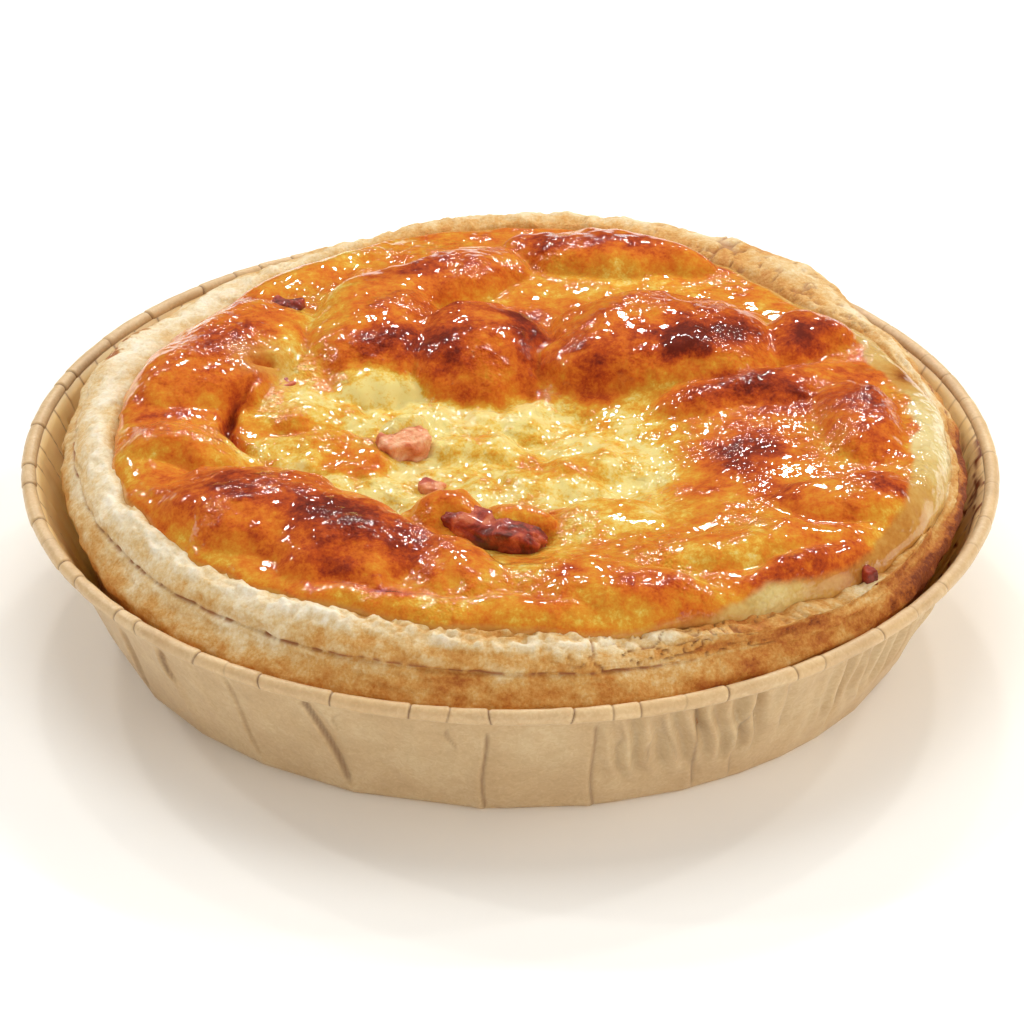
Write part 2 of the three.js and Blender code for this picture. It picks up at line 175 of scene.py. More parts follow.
# Patches where the skin browned more, or less: x, y, half length, half width, turn, and change of tone
SCORCHES = [
    (-20.5, -39.5, 9.5, 6, -25, 0.27), (-27.5, -34.5, 6, 4, -30, 0.20), (-13, -43, 4, 4, 0, 0.24),
    (-36, -24, 8, 2.5, -20, 0.12), (-24, -47.5, 6, 2.5, -20, 0.16), (-38, -29, 6, 3, -40, 0.14),
    (1.5, 21, 3.5, 8, 5, 0.42), (-10, 14, 5, 4, 0, 0.24), (-8, 9, 4, 3, 0, 0.16),
    (-18, 15.0, 7, 3.5, 10, 0.26), (-12, 37.5, 6, 3, 30, 0.20), (5, 46.5, 4, 4, 0, 0.26),
    (19, 46.5, 9, 3.0, 0, 0.22), (10.5, 12.5, 5, 3, 0, 0.16), (21, 14.5, 6, 3.0, 0, 0.18),
    (26, 13.5, 6, 4, 0, 0.18), (33.0, 17, 5, 4, 0, 0.34), (12.3, 8.0, 3.5, 2, -20, 0.38),
    (33, 4.0, 7, 3.5, 10, 0.28), (41, 1.0, 5, 3.5, 0, 0.26), (32.0, -12, 7, 6, 20, 0.52),
    (27.5, -20, 4, 4, 0, 0.20), (36.5, -22, 3.5, 5, 0, 0.26), (43, 18.6, 4, 3.5, 40, 0.28),
    (51, -23.5, 6, 3, -10, 0.30), (41.5, -33.5, 5, 2.5, 10, 0.20), (47, -42.5, 8, 5, 35, 0.24),
    (38, -47.0, 5, 3, 35, 0.20), (-39.5, 14.5, 5, 3.5, 40, 0.26), (-46.5, -2.5, 5, 2, 0, 0.34),
    (-51.5, -6, 2.5, 7, 10, 0.24), (-42, 27, 5, 2.0, 50, 0.16), (6.8, -48.6, 3, 2, 0, 0.20),
    (19.5, -52, 8, 3.0, -15, 0.22), (-15.7, -51.8, 2.5, 1.5, 0, 0.28), (5, -54.5, 3.5, 2.5, 0, 0.22),
    (50, 0, 3, 7, 5, 0.14), (-2, 31, 6, 2.5, 10, 0.12), (-24, 36, 5, 3, 40, 0.10),
    (-27, 26.5, 4, 7, 0, -0.20), (17, 24, 12, 4, 0, -0.04), (12, 38.5, 10, 3.5, 0, -0.26),
    (2, -46, 4, 2.5, -30, -0.26), (9, -45.5, 6, 2, -15, -0.12), (20, -14, 6, 6, 0, -0.04),
    (25, -27, 6, 5, 0, -0.10), (-33, 13.5, 5, 5, 40, -0.26), (-41, -11, 3, 3, 0, -0.10),
    (30, -42, 8, 2.5, 12, -0.14), (-4, 33, 5, 5, 0, -0.08), (-18, 6, 6, 4, 0, -0.12),
]

# Width of the pale custard that ran out past the browned skin: direction, width
PALE_EDGE = np.array([
    (-180, 0.2), (-150, 0.3), (-100, 0.4), (-78, 0.2), (-64, 0.2), (-56, 1.7), (-48, 0.6), (-40, 0.8),
    (-32, 2.4), (-14, 5.4), (0, 5.4), (14, 5.0), (26, 3.4), (38, 1.6), (60, 0.7), (100, 0.4), (140, 0.3),
])
# How golden that edge is, from 0 for pale curd to 1 for browned juice
GLAZED_EDGE = np.array([
    (-180, 0.5), (-100, 0.5), (-75, 0.35), (-62, 0.4), (-54, 0.14), (-47, 0.45), (-40, 0.7), (-28, 0.62),
    (-19, 0.35), (-10, 0.02), (2, 0.06), (10, 0.45), (18, 0.30), (30, 0.40), (50, 0.5), (120, 0.5),
])

# Bacon cubes: centre, length, width, height and turn
BACON = {
    "bacon_front": (-2.4, -32.2, 27.9, 17, 6.4, 6.0, -34),
    "bacon_middle": (-15.0, -7.2, 27.8, 8.0, 5.6, 4.4, 24),
    "bacon_small": (-11.2, -17.2, 26.3, 3.8, 2.8, 2.8, -30),
    "bacon_back": (-33.4, 28.2, 30.2, 5.6, 4.4, 3.8, -12),
    "bacon_east": (48.6, -38.8, 26.4, 3.8, 2.0, 2.8, -60),
    "bacon_west": (-33.2, 7.8, 27.8, 5.0, 3.2, 3.6, 46),
}

# How pale each cube's meat is: negative for dark and baked, positive for pink
BACON_TINT = {
    "bacon_front": -0.06, "bacon_middle": 0.27, "bacon_small": 0.16,
    "bacon_back": -0.10, "bacon_east": -0.12, "bacon_west": 0.02,
}

# Sectors of direction in which something changes: it starts, is full, is full until, and ends
SECTORS = {
    "filling ran over": (-74, -62, -24, -12),
    "crumbly layers": (-132, -108, -80, -68),
    "browner front lip": (-128, -104, -80, -60),
    "juice on the crust": (-42, -28, 2, 12),
    "browner back and right": (-40, -10, 110, 150),
    "cracks at the back right": (20, 36, 56, 76),
    "cracks at the front": (-86, -76, -60, -50),
    "busy flutes": (-80, -62, 20, 60),
    "gathers at the front": (-80, -75, -60, -55),
    "gathers at the front right": (-50, -44, -26, -18),
    "juice on the paper": (-36, -24, 4, 12),
}
BURNT_TURN, BURNT_REACH = 156, 6.5  # direction and half width of the burnt patch on the crust
TORN_HOLE = (-35.8, 10.4)  # at the end of the west loaf
SLIT = (-40.2, -2.2)  # the dark slit under it
GOLDEN_SPOT = (56.5, 11.0)  # on the pale custard at the right

# Small bright lamps behind the quiche, which the fat on it mirrors as sparks: direction, height in metres,
# watts
SPARKS = [
    (152, 0.62, 0.9), (128, 0.56, 1.0), (104, 0.66, 1.0), (84, 0.54, 1.0), (62, 0.62, 1.0), (36, 0.60, 0.8),
]
SPARK_DISTANCE, SPARK_SIZE, SPARK_COLOUR = 0.70, 0.05, "#fffdf8"
# Broad soft lamps, which the fat doesn't mirror: name, place, width and height in metres, watts, colour
FILLS = [
    ("overhead_fill", (-0.05, 0.30, 1.05), 0.6, 0.6, 4.0, "#fffcf6"),
    ("front_left_fill", (-0.60, -0.75, 0.40), 0.6, 0.5, 2.3, "#fffaf0"),
    ("front_right_fill", (0.75, -0.60, 0.42), 0.6, 0.5, 3.4, "#fffaf0"),
    ("right_fill", (0.95, 0.05, 0.50), 0.5, 0.5, 2.9, "#fffaf0"),
]
LIGHT_TARGET = (0, 0, 0.02)
SKY_STRENGTH = 0.34

# The camera: its height above the horizon, roll, distance, lens and the point that it faces
CAMERA_ELEVATION = 0.529426
CAMERA_ROLL = 0.00911
CAMERA_DISTANCE = 744.0
CAMERA_TARGET = (0.279, 0.0, 13.01)
SENSOR_WIDTH = 36.0
CAMERA_LENS = 181.41


# Settings that a user would change

class QuicheCaseSettings(bpy.types.PropertyGroup):
    columns: bpy.props.IntProperty(
        name="Columns", description="Faces round the paper case", default=1440, min=200)
    crease_depth: bpy.props.FloatProperty(
        name="Crease depth", description="Depth of the creases as a share of the real ones", default=1.0)


class QuichePastrySettings(bpy.types.PropertyGroup):
    columns: bpy.props.IntProperty(
        name="Columns", description="Faces round the pastry", default=1280, min=200)
    flake: bpy.props.FloatProperty(
        name="Flake height", description="Relief of the baked layers, in millimetres", default=0.22)


class QuicheCustardSettings(bpy.types.PropertyGroup):
    cells: bpy.props.IntProperty(
        name="Cells", description="Cells across the custard", default=300, min=60)
    browning: bpy.props.FloatProperty(
        name="Browning", description="Added to the tone of the whole skin", default=0.0)


class QuicheBaconSettings(bpy.types.PropertyGroup):
    bumps: bpy.props.FloatProperty(
        name="Bumps", description="Unevenness of the bacon cubes, in millimetres", default=0.5)


class QuicheStageSettings(bpy.types.PropertyGroup):
    floor_size: bpy.props.FloatProperty(
        name="Floor size", description="Side of the pale floor", default=6.0, unit="LENGTH")


# Shape helpers, all in millimetres

def smoothstep(low, high, value):
    t = np.clip((value - low) / (high - low), 0, 1)
    return t * t * (3 - 2 * t)


def mix(a, b, share):
    return a + (b - a) * share


def stacked(*columns):
    """The columns side by side, one row for each point. A single number fills its column."""
    return np.stack(np.broadcast_arrays(*columns), axis=1)


def turned(table, degrees, column):
    """A smooth closed curve through one column of a table of directions."""
    count = len(table)
    start = table[0, 0]
    turn = np.mod(np.asarray(degrees, dtype=float) - start, 360) + start
    at = np.searchsorted(table[:, 0], turn, side="right") - 1
    low = table[at, 0]
    high = np.where(at + 1 < count, table[(at + 1) % count, 0], start + 360)
    t = (turn - low) / (high - low)
    p0, p1, p2, p3 = (table[(at + k) % count, column] for k in (-1, 0, 1, 2))
    return 0.5 * (2 * p1 + (p2 - p0) * t + (2 * p0 - 5 * p1 + 4 * p2 - p3) * t ** 2
                  + (3 * p1 - p0 - 3 * p2 + p3) * t ** 3)


def ripple(x, y, pitch, seed):
    """A few crossed waves with a typical spacing of pitch."""
    total = 0
    for k in range(5):
        turn = seed + 2.4 * k
        wave = FULL_TURN / (pitch * (0.72 + 0.19 * k))
        total = total + np.sin(wave * (x * math.cos(turn) + y * math.sin(turn)) + 1.7 * seed * (k + 1))
    return total / 3


def lattice(cell, seed):
    """A repeatable random value from -1 to 1 for each cell."""
    n = (cell[..., 0] * 73856093) ^ (cell[..., 1] * 19349663) ^ (cell[..., 2] * 83492791) ^ (seed * 2654435)
    n = ((n ^ (n >> 13)) * 1274126177) & 0x7FFFFFFF
    n = ((n ^ (n >> 15)) * 668265263) & 0x7FFFFFFF
    return n / 0x3FFFFFFF - 1


def noise(points, size, seed=1, octaves=1):
    """Smooth random unevenness from about -1 to 1, with lumps of about the size given."""
    total = 0
    weight = 1.0
    for octave in range(octaves):
        spot = points / (size / 2 ** octave) + 19.7 * (seed + octave)
        cell = np.floor(spot).astype(np.int64)
        part = spot - cell
        part = part ** 3 * (part * (part * 6 - 15) + 10)
        value = 0
        for corner in range(8):
            step = np.array([corner & 1, corner >> 1 & 1, corner >> 2 & 1])
            share = np.prod(np.where(step == 1, part, 1 - part), axis=-1)
            value = value + share * lattice(cell + step, seed + octave)
        total = total + value * weight
        weight *= 0.5
    return total


def smooth_max(a, b, softness):
    """(the higher of a and b with a soft crease, the share of a)."""
    share = np.clip(0.5 + 0.5 * (a - b) / softness, 0, 1)
    return b + (a - b) * share + softness * share * (1 - share), share


def directions(x, y):
    return np.degrees(np.arctan2(y, x))


def turned_frame(x, y, degrees):
    """(along, across): x and y seen in a frame turned by so many degrees."""
    c, s = math.cos(math.radians(degrees)), math.sin(math.radians(degrees))
    return x * c + y * s, y * c - x * s


def basin_distance(x, y):
    """The distance from the middle of the custard's low basin, which is 1 at its edge."""
    return np.hypot((x - BASIN_CENTRE[0]) / BASIN_HALF[0], (y - BASIN_CENTRE[1]) / BASIN_HALF[1])


def polar(points):
    """(radius, direction) of each point."""
    return np.hypot(points[:, 0], points[:, 1]), directions(points[:, 0], points[:, 1])


def put_round(points, radius, angle):
    points[:, 0] = radius * np.cos(np.radians(angle))
    points[:, 1] = radius * np.sin(np.radians(angle))


def sector(angle, name):
    """1 in one of the sectors of direction and 0 outside it, with soft ends."""
    start, full, fading, end = SECTORS[name]
    return smoothstep(start, full, angle) * smoothstep(end, fading, angle)


# The custard's surface

def fold_height(x, y, fold):
    cx, cy, length, width, turn, top, drop, square = fold[:8]
    along, across = turned_frame(x - cx, y - cy, turn)
    along, across = np.abs(along) / (length / 2), np.abs(across) / (width / 2)
    far = (along ** square + across ** square) ** (1 / square)
    dome = top - drop + drop * np.clip(1 - far ** 2.2, 0, 1) ** (0.5 if square > 2.5 else 0.7)
    return np.where(far < 1, dome, top - drop - 22 * (far - 1))


def custard_edge(x, y):
    """The radius where the custard meets the pastry, in the direction of x, y."""
    angle = directions(x, y)
    ragged = 0.5 * ripple(angle, 0, 23, 0.9) + 0.3 * ripple(angle, 0, 7, 2.1)
    return turned(LIP, angle, INNER) + 1.4 + ragged


def custard_surface(x, y):
    """(height, tone) of the custard without its fine relief."""
    wx = x + 1.3 * ripple(x, y, 15, 0.7) + 0.35 * ripple(x, y, 5, 1.9)
    wy = y + 1.3 * ripple(x, y, 15, 2.9) + 0.35 * ripple(x, y, 5, 0.4)
    out = basin_distance(x, y)
    height = mix(BASIN_FLOOR, SHELF, smoothstep(0.8, 1.4, out))
    tone = mix(BASIN_TONE, SHELF_TONE, smoothstep(0.62, 1.25, out + 0.10 * ripple(x, y, 9, 2.2)))
    for fold in FOLDS.values():
        height, share = smooth_max(fold_height(wx, wy, fold), height, CREASE)
        tone = mix(tone, fold[8], share)
    angle = directions(x, y)
    inward = np.clip((custard_edge(x, y) - np.hypot(x, y)) / EDGE_ROUNDING, 0, 1)
    rim = turned(LIP, angle, TOP) - 1.2
    height = rim + (height - rim) * np.sqrt(1 - (1 - inward) ** 2.2)
    return height, tone


def scorch_tone(x, y):
    """The change of tone from the browner and paler patches of the skin."""
    wx = x + 1.1 * ripple(x, y, 6, 1.4)
    wy = y + 1.1 * ripple(x, y, 6, 3.3)
    total = 0
    for cx, cy, length, width, turn, change in SCORCHES:
        along, across = turned_frame(wx - cx, wy - cy, turn)
        total = total + change * np.exp(-(((along / length) ** 2 + (across / width) ** 2) ** 1.3))
    return total


# Mesh helpers

def read_points(mesh):
    flat = np.empty(len(mesh.vertices) * 3)
    mesh.vertices.foreach_get("co", flat)
    return flat.reshape(-1, 3)


def write_points(mesh, points):
    mesh.vertices.foreach_set("co", np.asarray(points, dtype=np.float32).ravel())
    mesh.update()


def write_attributes(mesh, **tones):
    """Stores a value for each point under each name, for the materials to read."""
    for name, values in tones.items():
        layer = mesh.attributes.new(name, "FLOAT", "POINT")
        layer.data.foreach_set("value", np.broadcast_to(values, len(mesh.vertices)).astype(np.float32))


def revolve(bm, columns):
    """Turns the profile in bm into a closed ring: one sector is spun, then copied round by doubling."""
    doublings = 5
    first = FULL_TURN / 2 ** doublings
    bmesh.ops.spin(bm, geom=list(bm.verts) + list(bm.edges), cent=(0, 0, 0), axis=(0, 0, 1), angle=first,
                   steps=columns // 2 ** doublings, use_duplicate=False)
    for k in range(doublings):
        whole = list(bm.verts) + list(bm.edges) + list(bm.faces)
        copied = bmesh.ops.duplicate(bm, geom=whole)["geom"]
        verts = [item for item in copied if isinstance(item, bmesh.types.BMVert)]
        bmesh.ops.rotate(bm, verts=verts, cent=(0, 0, 0), matrix=Matrix.Rotation(first * 2 ** k, 3, "Z"))
    bmesh.ops.remove_doubles(bm, verts=bm.verts, dist=1e-3)
    bmesh.ops.recalc_face_normals(bm, faces=bm.faces)


def profile_mesh(corners, spacing, rounding, columns):
    """Spins an open profile of (radius, height) corners into a bmesh, each side cut at its own spacing."""
    bm = bmesh.new()
    last = bm.verts.new((corners[0][0], 0, corners[0][1]))
    for (r0, z0), (r1, z1), step in zip(corners, corners[1:], spacing):
        cuts = max(1, round(math.hypot(r1 - r0, z1 - z0) / step))
        for k in range(1, cuts + 1):
            vert = bm.verts.new((mix(r0, r1, k / cuts), 0, mix(z0, z1, k / cuts)))
            bm.edges.new((last, vert))
            last = vert
    movable = [v for v in bm.verts if v.co.x > 1e-6]
    for _ in range(rounding):
        bmesh.ops.smooth_vert(bm, verts=movable, factor=0.5, use_axis_x=True, use_axis_z=True)
    revolve(bm, columns)
    return bm


def finish_piece(name, bm, material, node=None):
    """Turns a bmesh into a smooth object that rides on the root and may stand for a node."""
    mesh = bpy.data.meshes.new(name)
    bm.to_mesh(mesh)
    bm.free()
    mesh.polygons.foreach_set("use_smooth", [True] * len(mesh.polygons))
    mesh.materials.append(material)
    piece = bpy.data.objects.new(name, mesh)
    bpy.context.scene.collection.objects.link(piece)
    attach(piece, "root")
    if node:
        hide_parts(node)
    return piece


# Materials

def srgb(code):
    """Linear RGBA of an sRGB hex colour such as "#c8a070"."""
    parts = [int(code[i:i + 2], 16) / 255 for i in (1, 3, 5)]
    linear = [c / 12.92 if c <= 0.04045 else ((c + 0.055) / 1.055) ** 2.4 for c in parts]
    return (*linear, 1.0)


def add(tree, kind, values=None, links=None, stops=None, **settings):
    """Adds a node with its settings, input values, incoming links and, on a ramp, colour stops."""
    node = tree.nodes.new(kind)
    for name, value in settings.items():
        setattr(node, name, value)
    for name, value in (values or {}).items():
        node.inputs[name].default_value = value
    for name, socket in (links or {}).items():
        tree.links.new(socket, node.inputs[name])
    if stops:
        ramp = node.color_ramp
        while len(ramp.elements) < len(stops):
            ramp.elements.new(0.5)
        for element, (place, colour) in zip(ramp.elements, stops):
            element.position = place
            element.color = srgb(colour)
    return node


def new_material(name, surface):
    """(material, its nodes, its shader with the surface's values, object coordinates)."""
    material = bpy.data.materials.new(name)
    material.use_nodes = True
    tree = material.node_tree
    tree.nodes.clear()
    shader = add(tree, "ShaderNodeBsdfPrincipled", surface)
    add(tree, "ShaderNodeOutputMaterial", links={"Surface": shader.outputs["BSDF"]})
    place = add(tree, "ShaderNodeTexCoord").outputs["Object"]
    return material, tree, shader, place


def per_metre(millimetres):
    """The scale of a texture whose features are that many millimetres apart."""
    return 1 / (millimetres * MM)


def mottled(tree, place, value, layers):
    """The value with layers of noise added: each has a size in millimetres, a detail and an amount."""
    for size, detail, amount in layers:
        cloud = add(tree, "ShaderNodeTexNoise",
                    {"Scale": per_metre(size), "Detail": detail, "Roughness": 0.62}, {"Vector": place})
        change = add(tree, "ShaderNodeMath", {1: amount, 2: -amount / 2}, {0: cloud.outputs["Fac"]},
                     operation="MULTIPLY_ADD")
        total = add(tree, "ShaderNodeMath", links={0: value, 1: change.outputs[0]}, operation="ADD")
        value = total.outputs[0]
    return value


def baked_custard_skin():
    """Egg, cream and cheese baked to a glazed skin: pale curd where it is soft, red-brown where it caught.

    The browning attribute gives the tone, layers of noise mottle it with cheese, and clusters of fine
    blisters under a film of fat break the highlights into sparks.
    """
    material, tree, shader, place = new_material("baked_custard_skin", {
        "Roughness": 0.6, "Specular IOR Level": 0.05, "IOR": 1.45,
        "Coat Weight": 1.0, "Coat Roughness": 0.03, "Coat IOR": 1.5,
        "Subsurface Weight": 0.18, "Subsurface Radius": (1.0, 0.55, 0.2), "Subsurface Scale": 1.2 * MM,
    })
    tone, pale, glaze = (add(tree, "ShaderNodeAttribute", attribute_name=name).outputs["Fac"]
                         for name in ("browning", "cream", "glaze"))
    tone = mottled(tree, place, tone, ((4.5, 4, 0.75), (1.3, 3, 0.6), (0.4, 2, 0.34)))
    skin = add(tree, "ShaderNodeValToRGB", links={"Fac": tone}, stops=[
        (0.02, "#e2cf85"), (0.15, "#dcb550"), (0.27, "#d59632"), (0.40, "#d28029"),
        (0.54, "#cd6a23"), (0.70, "#b44c1e"), (0.86, "#8c341d"), (1.0, "#6a271b")])
    curd_tone = mottled(tree, place, glaze, ((3.0, 3, 0.5), (0.8, 3, 0.4)))
    curd = add(tree, "ShaderNodeValToRGB", links={"Fac": curd_tone}, stops=[
        (0.0, "#d9c489"), (0.2, "#d0b06c"), (0.45, "#c6964e"), (0.7, "#b67a36"), (1.0, "#8a461d")])
    colour = add(tree, "ShaderNodeMix", links={"Factor": pale, "A": skin.outputs["Color"],
                                               "B": curd.outputs["Color"]}, data_type="RGBA")
    tree.links.new(colour.outputs["Result"], shader.inputs["Base Color"])
    patches = add(tree, "ShaderNodeTexNoise", {"Scale": per_metre(9.0), "Detail": 3}, {"Vector": place})
    cluster = add(tree, "ShaderNodeMapRange",
                  {"From Min": 0.48, "From Max": 0.62, "To Min": 0.10, "To Max": 1.0},
                  {"Value": patches.outputs["Fac"]}).outputs["Result"]
    normal = None
    for size, detail, depth in ((2.0, 2, 0.44), (0.8, 1, 0.25), (0.34, 0, 0.04)):
        blister = add(tree, "ShaderNodeTexNoise",
                      {"Scale": per_metre(size), "Detail": detail, "Roughness": 0.5}, {"Vector": place})
        height = add(tree, "ShaderNodeMath", links={0: blister.outputs["Fac"], 1: cluster},
                     operation="MULTIPLY")
        bump = add(tree, "ShaderNodeBump", {"Strength": 1.0, "Distance": depth * MM},
                   {"Height": height.outputs[0], **({"Normal": normal} if normal else {})})
        normal = bump.outputs["Normal"]
    tree.links.new(normal, shader.inputs["Normal"])
    tree.links.new(normal, shader.inputs["Coat Normal"])
    return material


def laminated_pastry():
    """Butter puff pastry, rolled in layers and baked: chalky and floured on top, golden below."""
    material, tree, shader, place = new_material("laminated_pastry", {
        "Roughness": 0.62, "Specular IOR Level": 0.35,
        "Subsurface Weight": 0.12, "Subsurface Radius": (1.0, 0.6, 0.3), "Subsurface Scale": 1.2 * MM,
    })
    bake, seam = (add(tree, "ShaderNodeAttribute", attribute_name=name).outputs["Fac"]
                  for name in ("baking", "seam"))
    bake = mottled(tree, place, bake, ((6.0, 3, 0.22), (1.4, 4, 0.40), (0.45, 3, 0.46)))
    crust = add(tree, "ShaderNodeValToRGB", links={"Fac": bake}, stops=[
        (0.0, "#f5ead4"), (0.18, "#ebd8b4"), (0.36, "#dfbf8a"), (0.52, "#d3a05a"),
        (0.68, "#c3813a"), (0.84, "#ab5f26"), (1.0, "#7a3a1c")])
    # Darker along the seam and in the burnt patch, and with painted shade in the cracks
    dark = add(tree, "ShaderNodeMix", {"B": srgb("#a0623c")},
               {"Factor": seam, "A": crust.outputs["Color"]}, data_type="RGBA")
    tree.links.new(dark.outputs["Result"], shader.inputs["Base Color"])
    flour = add(tree, "ShaderNodeTexNoise", {"Scale": per_metre(0.7), "Detail": 5, "Roughness": 0.65},
                {"Vector": place})
    bump = add(tree, "ShaderNodeBump", {"Strength": 0.9, "Distance": 0.38 * MM},
               {"Height": flour.outputs["Fac"]})
    tree.links.new(bump.outputs["Normal"], shader.inputs["Normal"])
    return material


def kraft_paper():
    """Greaseproof pleated kraft paper: fibrous and matt, golden with fat inside, lightened there as painted
    light.
    """
    material, tree, shader, place = new_material("kraft_paper", {
        "Roughness": 0.42, "Specular IOR Level": 0.5,
        "Subsurface Weight": 0.3, "Subsurface Radius": (1.0, 0.8, 0.62), "Subsurface Scale": 1.4 * MM,
    })
    cloud = add(tree, "ShaderNodeTexNoise", {"Scale": per_metre(7.0), "Detail": 5, "Roughness": 0.6},
                {"Vector": place})
    fibre = add(tree, "ShaderNodeTexNoise", {"Scale": per_metre(0.9), "Detail": 3, "Roughness": 0.7,
                                             "Distortion": 1.2}, {"Vector": place})
    blend = add(tree, "ShaderNodeMix", {"Factor": 0.5},
                {"A": cloud.outputs["Fac"], "B": fibre.outputs["Fac"]}, data_type="FLOAT")
    sheet = add(tree, "ShaderNodeValToRGB", links={"Fac": blend.outputs["Result"]}, stops=[
        (0.30, "#bf9d72"), (0.50, "#ceaf84"), (0.72, "#dfc69d")])
    colour = sheet.outputs["Color"]
    # Juice is a stain; grease is a stain whose colour is lightened as painted light
    # The crease colour is painted shade in the creases, the pleat laps and the rim's notches
    for stain_and_shade, shade in (("grease", "#ffd89a"), ("juice", "#7c3a1a"), ("crease", "#6a3f1e")):
        amount = add(tree, "ShaderNodeAttribute", attribute_name=stain_and_shade)
        mixed = add(tree, "ShaderNodeMix", {"B": srgb(shade)},
                    {"Factor": amount.outputs["Fac"], "A": colour}, data_type="RGBA")
        colour = mixed.outputs["Result"]
    tree.links.new(colour, shader.inputs["Base Color"])
    bump = add(tree, "ShaderNodeBump", {"Strength": 0.5, "Distance": 0.05 * MM},
               {"Height": fibre.outputs["Fac"]})
    soft = add(tree, "ShaderNodeBump", {"Strength": 0.5, "Distance": 0.5 * MM},
               {"Height": cloud.outputs["Fac"], "Normal": bump.outputs["Normal"]})
    tree.links.new(soft.outputs["Normal"], shader.inputs["Normal"])
    return material


def cured_bacon():
    """Smoked pork belly, cubed and baked: wet dark red lean with paler streaks of fat."""
    material, tree, shader, place = new_material("cured_bacon", {
        "Roughness": 0.6, "Coat Weight": 0.28, "Coat Roughness": 0.08,
        "Subsurface Weight": 0.2, "Subsurface Radius": (1.0, 0.35, 0.2), "Subsurface Scale": 1.2 * MM,
    })
    tint = add(tree, "ShaderNodeAttribute", attribute_name="tint").outputs["Fac"]
    streak = add(tree, "ShaderNodeTexNoise", {"Scale": per_metre(2.6), "Detail": 5, "Roughness": 0.6,
                                              "Distortion": 0.8}, {"Vector": place})
    shade = add(tree, "ShaderNodeMath", links={0: streak.outputs["Fac"], 1: tint}, operation="ADD")
    meat = add(tree, "ShaderNodeValToRGB", links={"Fac": shade.outputs[0]}, stops=[
        (0.28, "#61200f"), (0.43, "#98301a"), (0.56, "#b9512b"), (0.74, "#d98a5e"), (1.0, "#edc59a")])
    tree.links.new(meat.outputs["Color"], shader.inputs["Base Color"])
    grain = add(tree, "ShaderNodeTexNoise", {"Scale": per_metre(0.8), "Detail": 3}, {"Vector": place})
    bump = add(tree, "ShaderNodeBump", {"Strength": 0.8, "Distance": 0.3 * MM},
               {"Height": grain.outputs["Fac"]})
    tree.links.new(bump.outputs["Normal"], shader.inputs["Normal"])
    return material


def pale_floor():
    """A plain matt studio sweep."""
    material, tree, shader, place = new_material("pale_floor", {"Roughness": 0.9})
    shade = add(tree, "ShaderNodeTexNoise", {"Scale": 2.0}, {"Vector": place})
    paint = add(tree, "ShaderNodeValToRGB", links={"Fac": shade.outputs["Fac"]}, stops=[
        (0.0, "#f7f6f3"), (1.0, "#fbfaf8")])
    tree.links.new(paint.outputs["Color"], shader.inputs["Base Color"])
    return material


# Paper case

def base_corner_share(angle):
    """How far in the straight side between two base corners lies, as a share of the radius."""
    corners = np.array(BASE_CORNERS, dtype=float)
    turn = np.mod(angle - corners[0], 360) + corners[0]
    at = np.searchsorted(corners, turn, side="right") - 1
    low = corners[at]
    high = np.append(corners[1:], corners[0] + 360)[at]
    return np.cos(np.radians(high - low) / 2) / np.cos(np.radians(turn - (low + high) / 2))


def nearest_turn(angle, centre):
    return np.mod(angle - centre + 180, 360) - 180


def crease_relief(angle, height, radius):
    """(inward depth in millimetres, painted shade) of the creases in the wall."""
    depth = np.zeros_like(angle)
    dark = np.zeros_like(angle)
    for top_turn, top, low_turn, low, amount in WALL_CREASES:
        share = np.clip((top - height) / (top - low), 0, 1)
        bow = 0.7 * np.sin(share * math.pi * 1.5 + top_turn)
        off = np.radians(nearest_turn(angle, mix(top_turn, low_turn, share) + bow * 0.5)) * radius
        fade = smoothstep(low - 1.2, low + 1.2, height) * smoothstep(top + 1.0, top - 1.0, height)
        slant = 0.03 * abs(top_turn - low_turn)
        valley = np.exp(-(off / (0.34 + slant)) ** 2)
        lean = np.exp(-(off / 1.5) ** 2) * np.tanh(off / 0.24)
        depth += fade * amount * (0.45 * valley + 0.95 * lean)
        # The dark line along each crease is painted shade
        line = np.exp(-(off / (0.22 + slant)) ** 2)
        dark = np.maximum(dark, fade * np.clip(amount * (1.9 - 1.6 * slant), 0, 1) * line)
    return depth, dark


